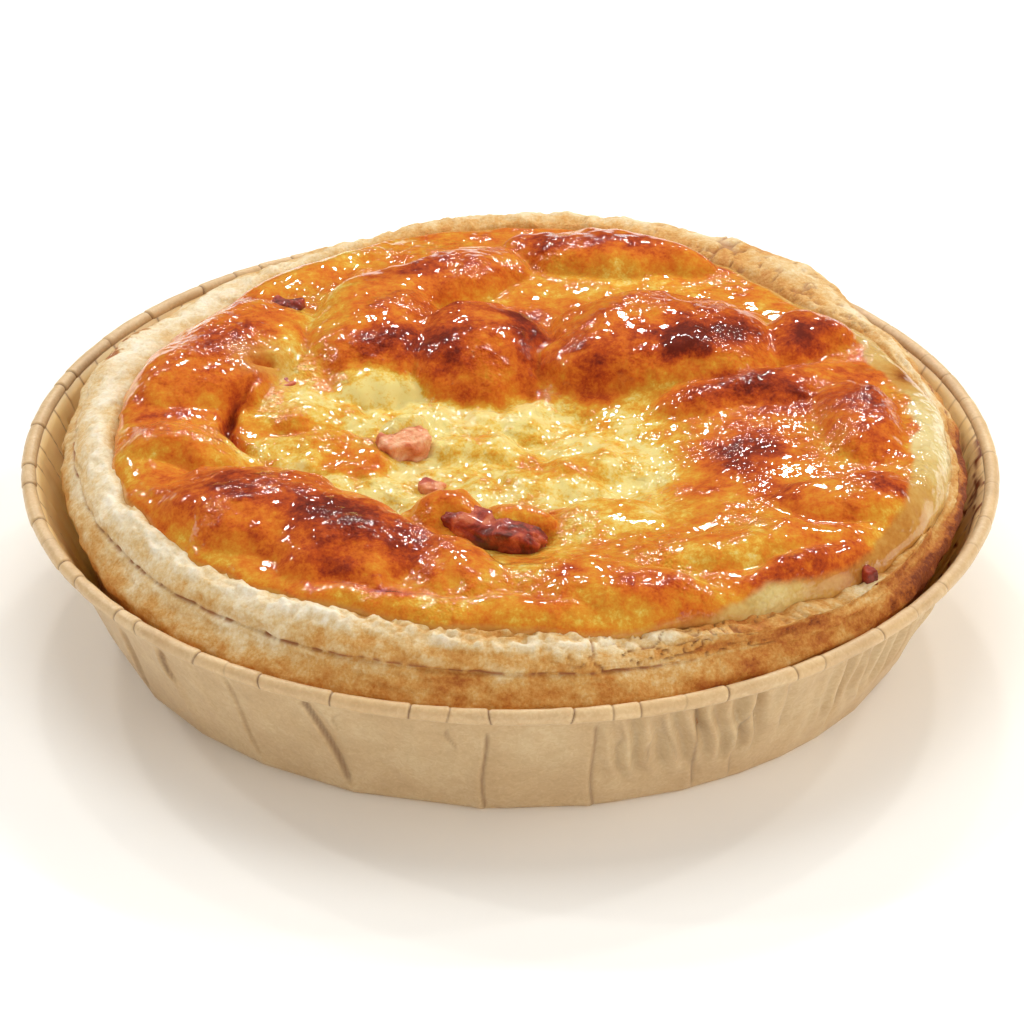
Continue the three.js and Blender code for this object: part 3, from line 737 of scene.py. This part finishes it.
def build_case_wall(settings, material):
    mid_radius = (BASE_RADIUS + WALL_TOP_RADIUS) / 2
    mid_height = BEAD_HEIGHT / 2 - 0.6
    flared = WALL_TOP_RADIUS + WALL_FLARE
    corners = [
        (0, 0), (BASE_RADIUS - 1.0, 0), (BASE_RADIUS, 0.5), (mid_radius, mid_height),
        (WALL_TOP_RADIUS, WALL_TOP), (flared, BEAD_HEIGHT),
        (flared - PAPER, BEAD_HEIGHT), (WALL_TOP_RADIUS - PAPER, WALL_TOP),
        (mid_radius - PAPER, mid_height), (BASE_RADIUS - PAPER - 0.4, PAPER), (0, PAPER),
    ]
    spacing = [30, 0.5, 0.55, 0.55, 1.5, 1, 1.5, 0.8, 2.5, 30]
    bm = profile_mesh(corners, spacing, 0, settings.columns)
    piece = finish_piece("case_wall", bm, material, "paper_case")
    points = read_points(piece.data)
    radius, angle = polar(points)
    height = points[:, 2]
    wall_line = np.interp(height, [0, mid_height, WALL_TOP, BEAD_HEIGHT],
                          [BASE_RADIUS, mid_radius, WALL_TOP_RADIUS, flared])
    outside = (radius > wall_line - PAPER / 2) & (height > 0.2)
    inside = ~outside
    on_wall = radius > BASE_RADIUS - 2
    # The outline goes from straight sides at the base to a circle at the rim
    straight = 1 - smoothstep(0, WALL_TOP, height)
    scale = 1 - straight * (1 - base_corner_share(angle))
    depth, dark = crease_relief(angle, height, radius)
    surface = stacked(angle * 1.1, height * 0.55, 0)
    swell = 0.22 * noise(surface, 9, 3, 2) * smoothstep(0, 3, height)
    swell *= smoothstep(WALL_TOP, WALL_TOP - 3, height)
    # Soft flutes all round, and rows of small gathers at the front
    busy = 0.25 + 0.75 * sector(angle, "busy flutes")
    flutes = 0.42 * busy * noise(stacked(angle + 0.12 * height, height * 0.16, 0), 2.9, 8, 2)
    gathered = sector(angle, "gathers at the front") + 0.7 * sector(angle, "gathers at the front right")
    rows = np.sin(FULL_TURN * (angle + 0.24 * height + 0.6 * ripple(angle, height, 14, 1.3)) / 2.7)
    flutes += 0.6 * gathered * rows * smoothstep(3, 10, height) * smoothstep(20, 18, height)
    # Inside, the paper laps over itself at each pleat, and each lap gets a line of painted shade
    pleat = np.mod((angle - PLEAT_START) / PLEAT_PITCH, 1)
    step = np.minimum(pleat, 1 - pleat) * PLEAT_PITCH
    pleat_line = np.exp(-(step / 0.2) ** 2) * inside * on_wall * smoothstep(1, 4, height)
    pleat_line *= 0.5 + 0.5 * smoothstep(15, 35, np.abs(angle))
    lap = 0.28 * (pleat - 0.5) * inside * (0.3 + 0.7 * smoothstep(30, 60, np.abs(angle)))
    below_rim = smoothstep(WALL_TOP + 0.3, WALL_TOP - 1.5, height)
    shift = depth * settings.crease_depth - swell - flutes * smoothstep(2, 8, height) - lap
    moved = radius * scale - shift * below_rim * on_wall
    put_round(points, np.where(radius < 1, radius, moved), angle)
    write_points(piece.data, points * MM)
    # Juice ran down the inside in threads
    threads = np.abs(noise(stacked(angle * 0.9, height, 0), 4.0, 21, 3))
    drips = smoothstep(0.14, 0.04, threads) * smoothstep(8, 14, height)
    juice = inside * sector(angle, "juice on the paper") * (0.24 * smoothstep(10, -10, angle) + drips)
    # The grease inside the case is a real stain, lightened as painted light
    write_attributes(
        piece.data,
        crease=np.clip(dark * outside * 0.75 + pleat_line * 0.7, 0, 1),
        grease=inside * (0.8 + 0.2 * noise(surface, 5, 11)) * on_wall,
        juice=np.clip(juice, 0, 1))
    return piece


def build_case_rim(settings, material):
    bm = bmesh.new()
    ring = bmesh.ops.create_circle(bm, cap_ends=False, radius=BEAD_RADIUS, segments=18)["verts"]
    bmesh.ops.rotate(bm, verts=ring, cent=(0, 0, 0), matrix=Matrix.Rotation(math.pi / 2, 3, "X"))
    bmesh.ops.translate(bm, verts=ring, vec=(BEAD_CENTRE, 0, BEAD_HEIGHT))
    revolve(bm, settings.columns * 2)
    piece = finish_piece("case_rolled_rim", bm, material, "paper_case")
    points = read_points(piece.data)
    radius, angle = polar(points)
    up = points[:, 2] - BEAD_HEIGHT
    around = np.arctan2(up, radius - BEAD_CENTRE)
    notch = np.zeros_like(angle)
    dark = np.zeros_like(angle)
    for turn, strength in NOTCHES:
        lean = 0.9 * math.sin(turn) * (up / BEAD_RADIUS) * 0.35
        off = np.radians(nearest_turn(angle, turn)) * RIM_RADIUS + lean
        lap = np.exp(-(off / 2.4) ** 2) * np.tanh(off / 0.12)
        notch += strength * settings.crease_depth * (0.20 * np.exp(-(off / 0.2) ** 2) + 0.06 * lap)
        # The dark line along each notch is painted shade
        dark = np.maximum(dark, strength * np.exp(-((off - 0.06) / 0.13) ** 2))
    flat = 0.05 * noise(stacked(angle * 1.2, around * 1.5, 0), 3, 5, 2)
    section = BEAD_RADIUS - BEAD_TUCK - notch * smoothstep(-BEAD_RADIUS, -0.2, up) + flat
    put_round(points, BEAD_CENTRE + section * np.cos(around), angle)
    points[:, 2] = BEAD_HEIGHT + section * np.sin(around)
    write_points(piece.data, points * MM)
    write_attributes(
        piece.data, crease=np.clip(dark, 0, 1) * 0.85, grease=0.05 + 0.10 * noise(points, 6, 2), juice=0.0)
    return piece


class QUICHE_OT_case(bpy.types.Operator):
    """Model the pleated paper case with its rolled rim"""
    bl_idname = "quiche.case"
    bl_label = "Paper case"

    def execute(self, context):
        material = kraft_paper()
        build_case_wall(context.scene.quiche_case, material)
        build_case_rim(context.scene.quiche_case, material)
        return {"FINISHED"}


# Pastry shell

def pastry_point(radius, angle, height):
    """Moves a point of the even profile to where the uneven lip has it."""
    lift = smoothstep(16, 25, height)
    across = np.clip((radius - LIP_INNER) / (LIP_OUTER - LIP_INNER), 0, 1)
    inner_move = turned(LIP, angle, INNER) - LIP_INNER
    outer_move = turned(LIP, angle, OUTER) - LIP_OUTER
    x, y = radius * np.cos(np.radians(angle)), radius * np.sin(np.radians(angle))
    uneven = lift * 0.35 * ripple(x, y, 17, 1.1)
    move = mix(inner_move, outer_move, across) * lift + uneven
    above = np.maximum(0, height - 24)
    raised = above * (turned(LIP, angle, TOP) - 24) / (LIP_TOP - 24) - above
    return radius + move, height + raised + uneven * 0.6


def build_pastry(settings, material):
    floor = PAPER + 0.35
    foot = BASE_RADIUS - PAPER - 2.2
    corners = [
        (0, floor), (foot, floor), (foot + 2.6, 5), (62.0, 12.0), (64.6, 18.0),
        (BELLY_RADIUS + 0.9, BELLY_HEIGHT - 1.6), (BELLY_RADIUS + 0.6, BELLY_HEIGHT),
        (BELLY_RADIUS + 0.2, SEAM_HEIGHT - 1.6), (BELLY_RADIUS - 0.6, SEAM_HEIGHT - 0.4),
        (LIP_OUTER + 1.3 - SEAM_DEPTH, SEAM_HEIGHT), (LIP_OUTER + 1.3, SEAM_HEIGHT + 0.4),
        (LIP_OUTER + 0.7, SEAM_HEIGHT + 1.5), (LIP_OUTER - 0.7, LIP_TOP - 0.9),
        (LIP_OUTER - 2.4, LIP_TOP - 0.1), (LIP_INNER + 1.0, LIP_TOP - 0.3), (LIP_INNER, LIP_TOP - 1.6),
        (LIP_INNER - 1.4, 16.5), (foot - 5.2, floor + 4.2), (0, floor + 4.2),
    ]
    spacing = [30, 4, 4, 2, 0.7, 0.4, 0.35, 0.3, 0.25, 0.3, 0.3, 0.3, 0.3, 0.3, 0.4, 6, 12, 30]
    bm = profile_mesh(corners, spacing, 1, settings.columns)
    piece = finish_piece("pastry_shell", bm, material, "pastry_crust")
    points = read_points(piece.data)
    radius, angle = polar(points)
    height = points[:, 2].copy()
    visible = smoothstep(14, 19, height) * (radius > 50)
    top_face = smoothstep(LIP_TOP - 1.8, LIP_TOP - 0.4, height)
    upper = smoothstep(SEAM_HEIGHT - 0.1, SEAM_HEIGHT + 0.4, height)
    below = smoothstep(SEAM_HEIGHT + 0.3, BELLY_HEIGHT - 2.5, height)
    arc = angle * LIP_ARC
    spot = stacked(arc, height, radius)
    lumps = noise(stacked(arc, height * 1.6, radius), 5.5, 7, 2)
    layers = noise(stacked(arc * 0.3, height, radius * 0.5), 0.9, 4, 2)
    wrinkles = noise(stacked(arc * 0.6, height * 1.2, radius * 1.2), 2.6, 8, 2)
    pimples = noise(spot, 1.2, 9, 2)
    crumbs = noise(spot, 0.85, 37, 1)
    ridges = 1 - 2 * np.abs(noise(stacked(arc * 0.45, height, radius * 1.3), 1.7, 17, 2))
    crumbly = sector(angle, "crumbly layers") * top_face
    moved, raised = pastry_point(radius, angle, height)
    # At the front right the filling ran over and filled the seam
    overrun = sector(angle, "filling ran over")
    fill_line = mix(BELLY_RADIUS + 2.0, turned(LIP, angle, OUTER) - 0.6,
                    smoothstep(BELLY_HEIGHT, LIP_TOP - 1, height))
    moved = np.where((height > BELLY_HEIGHT) & (radius > LIP_INNER + 3),
                     mix(moved, fill_line, overrun), moved)
    # The side stands close to the case, further from it where the pastry shrank
    wall = mix(BASE_RADIUS, WALL_TOP_RADIUS, height / WALL_TOP) - PAPER - turned(CASE_GAP, angle, 1)
    moved = mix(moved, wall, smoothstep(8, 12, height) * smoothstep(24.4, 20.8, height) * (radius > 59))
    outward = 0.32 * lumps + settings.flake * (layers * (1 - top_face) + 0.7 * wrinkles) + 0.12 * pimples
    moved += outward * visible
    raised += (0.24 * lumps + 0.30 * wrinkles + 0.18 * pimples + 0.26 * ridges) * top_face * visible
    raised += crumbly * visible * (0.28 * crumbs + 0.35 * np.clip(pimples, 0, 1))
    # Brittle upper layers break into short cracks, mostly at the front and back right
    crack_field = np.abs(noise(stacked(arc, height * 2.2, radius * 1.4), 3.0, 13, 2))
    brittle = 0.12 + sector(angle, "cracks at the back right") + sector(angle, "cracks at the front")
    cracks = smoothstep(0.09, 0.02, crack_field) * upper * visible * np.clip(brittle, 0, 1)
    raised -= 0.5 * cracks * top_face
    moved -= 0.5 * cracks * (1 - top_face)
    put_round(points, moved, angle)
    points[:, 2] = raised
    write_points(piece.data, points * MM)
    # Golden below the seam, floury on top, and browner where juice or custard ran
    bake = 0.20 - 0.06 * top_face + 0.40 * below ** 0.7 + 0.12 * (1 - below) * (1 - top_face)
    bake -= 0.16 * crumbly * np.clip(0.5 + crumbs + pimples, 0, 1)
    streaks = noise(stacked(arc, height * 0.25, 0), 2.4, 19, 2)
    bake += 0.08 * lumps - 0.12 * wrinkles * (1 - below) - 0.06 * pimples + 0.16 * streaks * below
    bake += 0.22 * smoothstep(3.2, 0.8, radius - LIP_INNER + 0.8 * lumps) * (height > 20)
    bake += overrun * (0.26 + 0.16 * lumps - 0.10 * below)
    juice = sector(angle, "juice on the crust") * smoothstep(SEAM_HEIGHT + 1.5, SEAM_HEIGHT - 2, height)
    bake += 0.42 * juice + 0.21 * sector(angle, "browner back and right")
    bake += 0.20 * sector(angle, "browner front lip") * (1 - below)
    # The seam between the two sheets, broken in places
    wander = 0.25 * ripple(angle, 0, 31, 0.8)
    groove = np.exp(-((height - SEAM_HEIGHT - wander) / 0.22) ** 2) * (radius > LIP_INNER + 2)
    dots = smoothstep(-0.6, 0.25, noise(stacked(arc, 0, 0), 0.9, 23, 2) + 0.5 * lumps)
    # One small patch of the lip is burnt
    char = noise(spot, 1.3, 27, 3) - 1.5 * smoothstep(62.0, 59.4, moved)
    burnt = np.exp(-(((angle - BURNT_TURN) / BURNT_REACH) ** 4)) * (height > 20)
    burnt *= smoothstep(-0.3, 0.4, char)
    # The seam line and the burnt patch are the crust's own colour; the cracks get painted shade
    seam = groove * dots * (1 - overrun) + 0.7 * cracks + 0.6 * burnt
    write_attributes(piece.data, baking=np.clip(bake + 0.6 * burnt, 0, 1), seam=np.clip(seam, 0, 1))
    return piece


class QUICHE_OT_pastry(bpy.types.Operator):
    """Model the laminated pastry shell"""
    bl_idname = "quiche.pastry"
    bl_label = "Pastry shell"

    def execute(self, context):
        build_pastry(context.scene.quiche_pastry, laminated_pastry())
        return {"FINISHED"}


# Custard

def build_custard(settings, material):
    bm = bmesh.new()
    bmesh.ops.create_grid(bm, x_segments=settings.cells, y_segments=settings.cells, size=1)
    # The wall and base below the top are hidden in the pastry, so they are a few plain rings
    rim = [e for e in bm.edges if e.is_boundary]
    for share, drop in ((0.985, 2.0), (0.93, 12.0), (0.85, 20.0)):
        grown = bmesh.ops.extrude_edge_only(bm, edges=rim)["geom"]
        rim = [e for e in grown if isinstance(e, bmesh.types.BMEdge) and e.is_boundary]
        for vert in {v for e in rim for v in e.verts}:
            scale = share / max(abs(vert.co.x), abs(vert.co.y))
            vert.co = Vector((vert.co.x * scale, vert.co.y * scale, -drop))
    grown = bmesh.ops.extrude_edge_only(bm, edges=rim)["geom"]
    last = [v for v in grown if isinstance(v, bmesh.types.BMVert)]
    bmesh.ops.pointmerge(bm, verts=last, merge_co=(0, 0, -20.0))
    bmesh.ops.recalc_face_normals(bm, faces=bm.faces)
    piece = finish_piece("custard_filling", bm, material, "custard")
    points = read_points(piece.data)
    u, v, sunk = points[:, 0].copy(), points[:, 1].copy(), -points[:, 2]
    # The square grid is rounded to a disc and stretched to the pastry's uneven inner edge
    disc_x = u * np.sqrt(1 - v * v / 2)
    disc_y = v * np.sqrt(1 - u * u / 2)
    edge = custard_edge(disc_x, disc_y)
    x, y = disc_x * edge, disc_y * edge
    angle = directions(x, y)
    inset = edge - np.hypot(x, y)
    height, tone = custard_surface(x, y)
    flat = stacked(x, y, height * 0.6)
    basin = smoothstep(1.0, 0.75, basin_distance(x, y) + 0.1 * ripple(x, y, 8, 1.0))
    basin *= smoothstep(31.0, 29.4, height)
    relief = 0.28 * noise(flat, 6.0, 5, 2) + 0.07 * noise(flat, 1.9, 6, 2)
    small_curds = noise(flat, 3.0, 32)
    curds = 0.85 * noise(flat, 6.5, 31) + 0.55 * small_curds + 0.22 * noise(flat, 1.3, 33, 2)
    height = height + mix(relief, curds, basin) * smoothstep(0, 2.5, inset)
    # A torn hole at the end of the west loaf, with a raised lip, and the dark slit under it
    off_x, off_y = x - TORN_HOLE[0], y - TORN_HOLE[1]
    along = off_x * 0.94 + off_y * 0.34
    across = off_y * 0.94 - off_x * 0.34
    hole = np.exp(-((along / 1.7) ** 4 + (across / 0.8) ** 4))
    lip = np.exp(-((along / 4.6) ** 4 + (across / 3.6) ** 4)) - hole
    bend = x - SLIT[0] - 0.07 * (y + 2) ** 2 + 0.4 * ripple(x, y, 4, 0.6)
    slit = np.exp(-((bend / 0.9) ** 2 + ((y - SLIT[1]) / 6.5) ** 4))
    height = height - 2.2 * hole - 0.5 * lip - 2.8 * slit
    points[:, 0], points[:, 1] = x, y
    points[:, 2] = height - sunk
    write_points(piece.data, points * MM)
    # High skin browned more, and so did the edge; the slit and the hole are darkened with painted shade
    browning = tone + scorch_tone(x, y) + 0.10 * noise(flat, 7, 15, 2)
    browning += np.clip(0.04 * (height - 32.3), -0.14, 0.09) * (1 - basin)
    browning += 0.42 * slit + 0.30 * hole + 0.16 * smoothstep(1.6, 0.0, inset) + settings.browning
    golden = np.clip(noise(flat, 8.0, 51, 2), -0.3, 1)
    browning += basin * (0.26 * golden + 0.10 * smoothstep(-5, 22, x) - 0.05 * small_curds)
    # Pale custard ran out past the browned skin
    ragged = 0.9 * noise(stacked(x, y, 0), 3.0, 41, 2)
    pale_width = turned(PALE_EDGE, angle, 1)
    pale = smoothstep(0.5, -0.3, inset - pale_width + ragged * np.clip(pale_width / 3, 0, 1))
    spot = np.exp(-(((x - GOLDEN_SPOT[0]) / 1.6) ** 2 + ((y - GOLDEN_SPOT[1]) / 3.0) ** 2))
    write_attributes(
        piece.data,
        browning=np.clip(browning, 0, 1),
        cream=np.clip(np.maximum(pale, 0.55 * lip), 0, 1),
        glaze=np.clip(turned(GLAZED_EDGE, angle, 1) + 0.5 * spot, 0, 1))
    return piece


class QUICHE_OT_custard(bpy.types.Operator):
    """Model the puffed custard filling"""
    bl_idname = "quiche.custard"
    bl_label = "Custard"

    def execute(self, context):
        build_custard(context.scene.quiche_custard, baked_custard_skin())
        return {"FINISHED"}


# Bacon

def build_bacon(name, size, settings, material):
    x, y, z, length, width, tall, turn = size
    bm = bmesh.new()
    bmesh.ops.create_cube(bm, size=2)
    bmesh.ops.subdivide_edges(bm, edges=bm.edges, cuts=23, use_grid_fill=True)
    piece = finish_piece(name + "_cube", bm, material, name)
    points = read_points(piece.data)
    reach = (np.abs(points) ** 6).sum(axis=1) ** (1 / 6)
    points = points / reach[:, None]
    bend = 0.07 * width * points[:, 0] ** 2
    # A little small, which leaves room for the bumps
    points = points * np.array([length / 2, width / 2, tall / 2]) * 0.94
    points[:, 1] += bend
    seed = int(abs(x) * 3) + 2
    grain = min(width, tall)
    lumps = stacked(*(noise(points + 40 * k, grain * 0.6, seed + k, 2) for k in range(3)))
    fine = noise(points * np.array([0.5, 1, 1]), 1.1, seed + 5, 2)
    points = points + settings.bumps * grain / 6 * lumps
    points = points * (1 + 0.09 * fine[:, None])
    turned_x, turned_y = turned_frame(points[:, 0], points[:, 1], -turn)
    write_points(piece.data, stacked(x + turned_x, y + turned_y, z + points[:, 2]) * MM)
    write_attributes(piece.data, tint=BACON_TINT[name] + 0.10 * noise(points, 3, seed, 2))
    return piece


class QUICHE_OT_bacon(bpy.types.Operator):
    """Model the bacon cubes that show through the custard"""
    bl_idname = "quiche.bacon"
    bl_label = "Bacon"

    def execute(self, context):
        material = cured_bacon()
        for name, size in BACON.items():
            build_bacon(name, size, context.scene.quiche_bacon, material)
        return {"FINISHED"}


# Stage

def add_area_light(name, place, width, height, power, colour):
    data = bpy.data.lights.new(name, "AREA")
    data.shape = "RECTANGLE"
    data.size = width
    data.size_y = height
    data.energy = power
    data.color = srgb(colour)[:3]
    light = bpy.data.objects.new(name, data)
    bpy.context.scene.collection.objects.link(light)
    light.location = place
    light.rotation_euler = (Vector(LIGHT_TARGET) - Vector(place)).to_track_quat("-Z", "Y").to_euler()
    return light


def build_camera():
    data = bpy.data.cameras.new("photo_camera")
    data.sensor_width = SENSOR_WIDTH
    data.lens = CAMERA_LENS
    data.clip_start = 0.01
    camera = bpy.data.objects.new("photo_camera", data)
    bpy.context.scene.collection.objects.link(camera)
    back = Vector((0, -math.cos(CAMERA_ELEVATION), math.sin(CAMERA_ELEVATION)))
    right = Vector((1, 0, 0))
    up = back.cross(right)
    c, s = math.cos(CAMERA_ROLL), math.sin(CAMERA_ROLL)
    right, up = c * right + s * up, c * up - s * right
    place = (Vector(CAMERA_TARGET) + back * CAMERA_DISTANCE) * MM
    turn = Matrix((right, up, back)).transposed().to_4x4()
    camera.matrix_world = Matrix.Translation(place) @ turn
    bpy.context.scene.camera = camera


class QUICHE_OT_stage(bpy.types.Operator):
    """Set the pale floor, the soft studio lights and the camera"""
    bl_idname = "quiche.stage"
    bl_label = "Stage"

    def execute(self, context):
        scene = context.scene
        bm = bmesh.new()
        bmesh.ops.create_grid(bm, x_segments=1, y_segments=1, size=scene.quiche_stage.floor_size / 2)
        mesh = bpy.data.meshes.new("floor")
        bm.to_mesh(mesh)
        bm.free()
        mesh.materials.append(pale_floor())
        floor = bpy.data.objects.new("floor", mesh)
        scene.collection.objects.link(floor)
        world = bpy.data.worlds.new("studio")
        world.use_nodes = True
        sky = world.node_tree.nodes["Background"]
        sky.inputs["Color"].default_value = srgb("#ffffff")
        sky.inputs["Strength"].default_value = SKY_STRENGTH
        scene.world = world
        world.cycles_visibility.glossy = False
        for turn, height, power in SPARKS:
            angle = math.radians(turn)
            place = (SPARK_DISTANCE * math.cos(angle), SPARK_DISTANCE * math.sin(angle), height)
            add_area_light("spark_%d" % turn, place, SPARK_SIZE, SPARK_SIZE, power, SPARK_COLOUR)
        for lamp in FILLS:
            add_area_light(*lamp).visible_glossy = False
        scene.view_settings.view_transform = "Standard"
        scene.view_settings.look = "None"
        build_camera()
        return {"FINISHED"}


class QUICHE_PT_panel(bpy.types.Panel):
    """Lists the pieces of the quiche"""
    bl_idname = "QUICHE_PT_panel"
    bl_label = "Quiche"
    bl_space_type = "VIEW_3D"
    bl_region_type = "UI"
    bl_category = "Quiche"

    def draw(self, context):
        scene = context.scene
        for operator, settings in BUILD_ORDER:
            box = self.layout.box()
            box.operator(operator.bl_idname)
            group = getattr(scene, settings)
            for name in group.__annotations__:
                box.prop(group, name)


BUILD_ORDER = [
    (QUICHE_OT_stage, "quiche_stage"),
    (QUICHE_OT_case, "quiche_case"),
    (QUICHE_OT_pastry, "quiche_pastry"),
    (QUICHE_OT_custard, "quiche_custard"),
    (QUICHE_OT_bacon, "quiche_bacon"),
]
SETTINGS = {
    "quiche_stage": QuicheStageSettings,
    "quiche_case": QuicheCaseSettings,
    "quiche_pastry": QuichePastrySettings,
    "quiche_custard": QuicheCustardSettings,
    "quiche_bacon": QuicheBaconSettings,
}


def register():
    for name, group in SETTINGS.items():
        bpy.utils.register_class(group)
        setattr(bpy.types.Scene, name, bpy.props.PointerProperty(type=group))
    for operator, _ in BUILD_ORDER:
        bpy.utils.register_class(operator)
    bpy.utils.register_class(QUICHE_PT_panel)


def unregister():
    bpy.utils.unregister_class(QUICHE_PT_panel)
    for operator, _ in reversed(BUILD_ORDER):
        bpy.utils.unregister_class(operator)
    for name, group in SETTINGS.items():
        delattr(bpy.types.Scene, name)
        bpy.utils.unregister_class(group)


def main():
    register()
    bpy.ops.quiche.stage()
    bpy.ops.quiche.case()
    bpy.ops.quiche.pastry()
    bpy.ops.quiche.custard()
    bpy.ops.quiche.bacon()


if __name__ == "__main__":
    main()
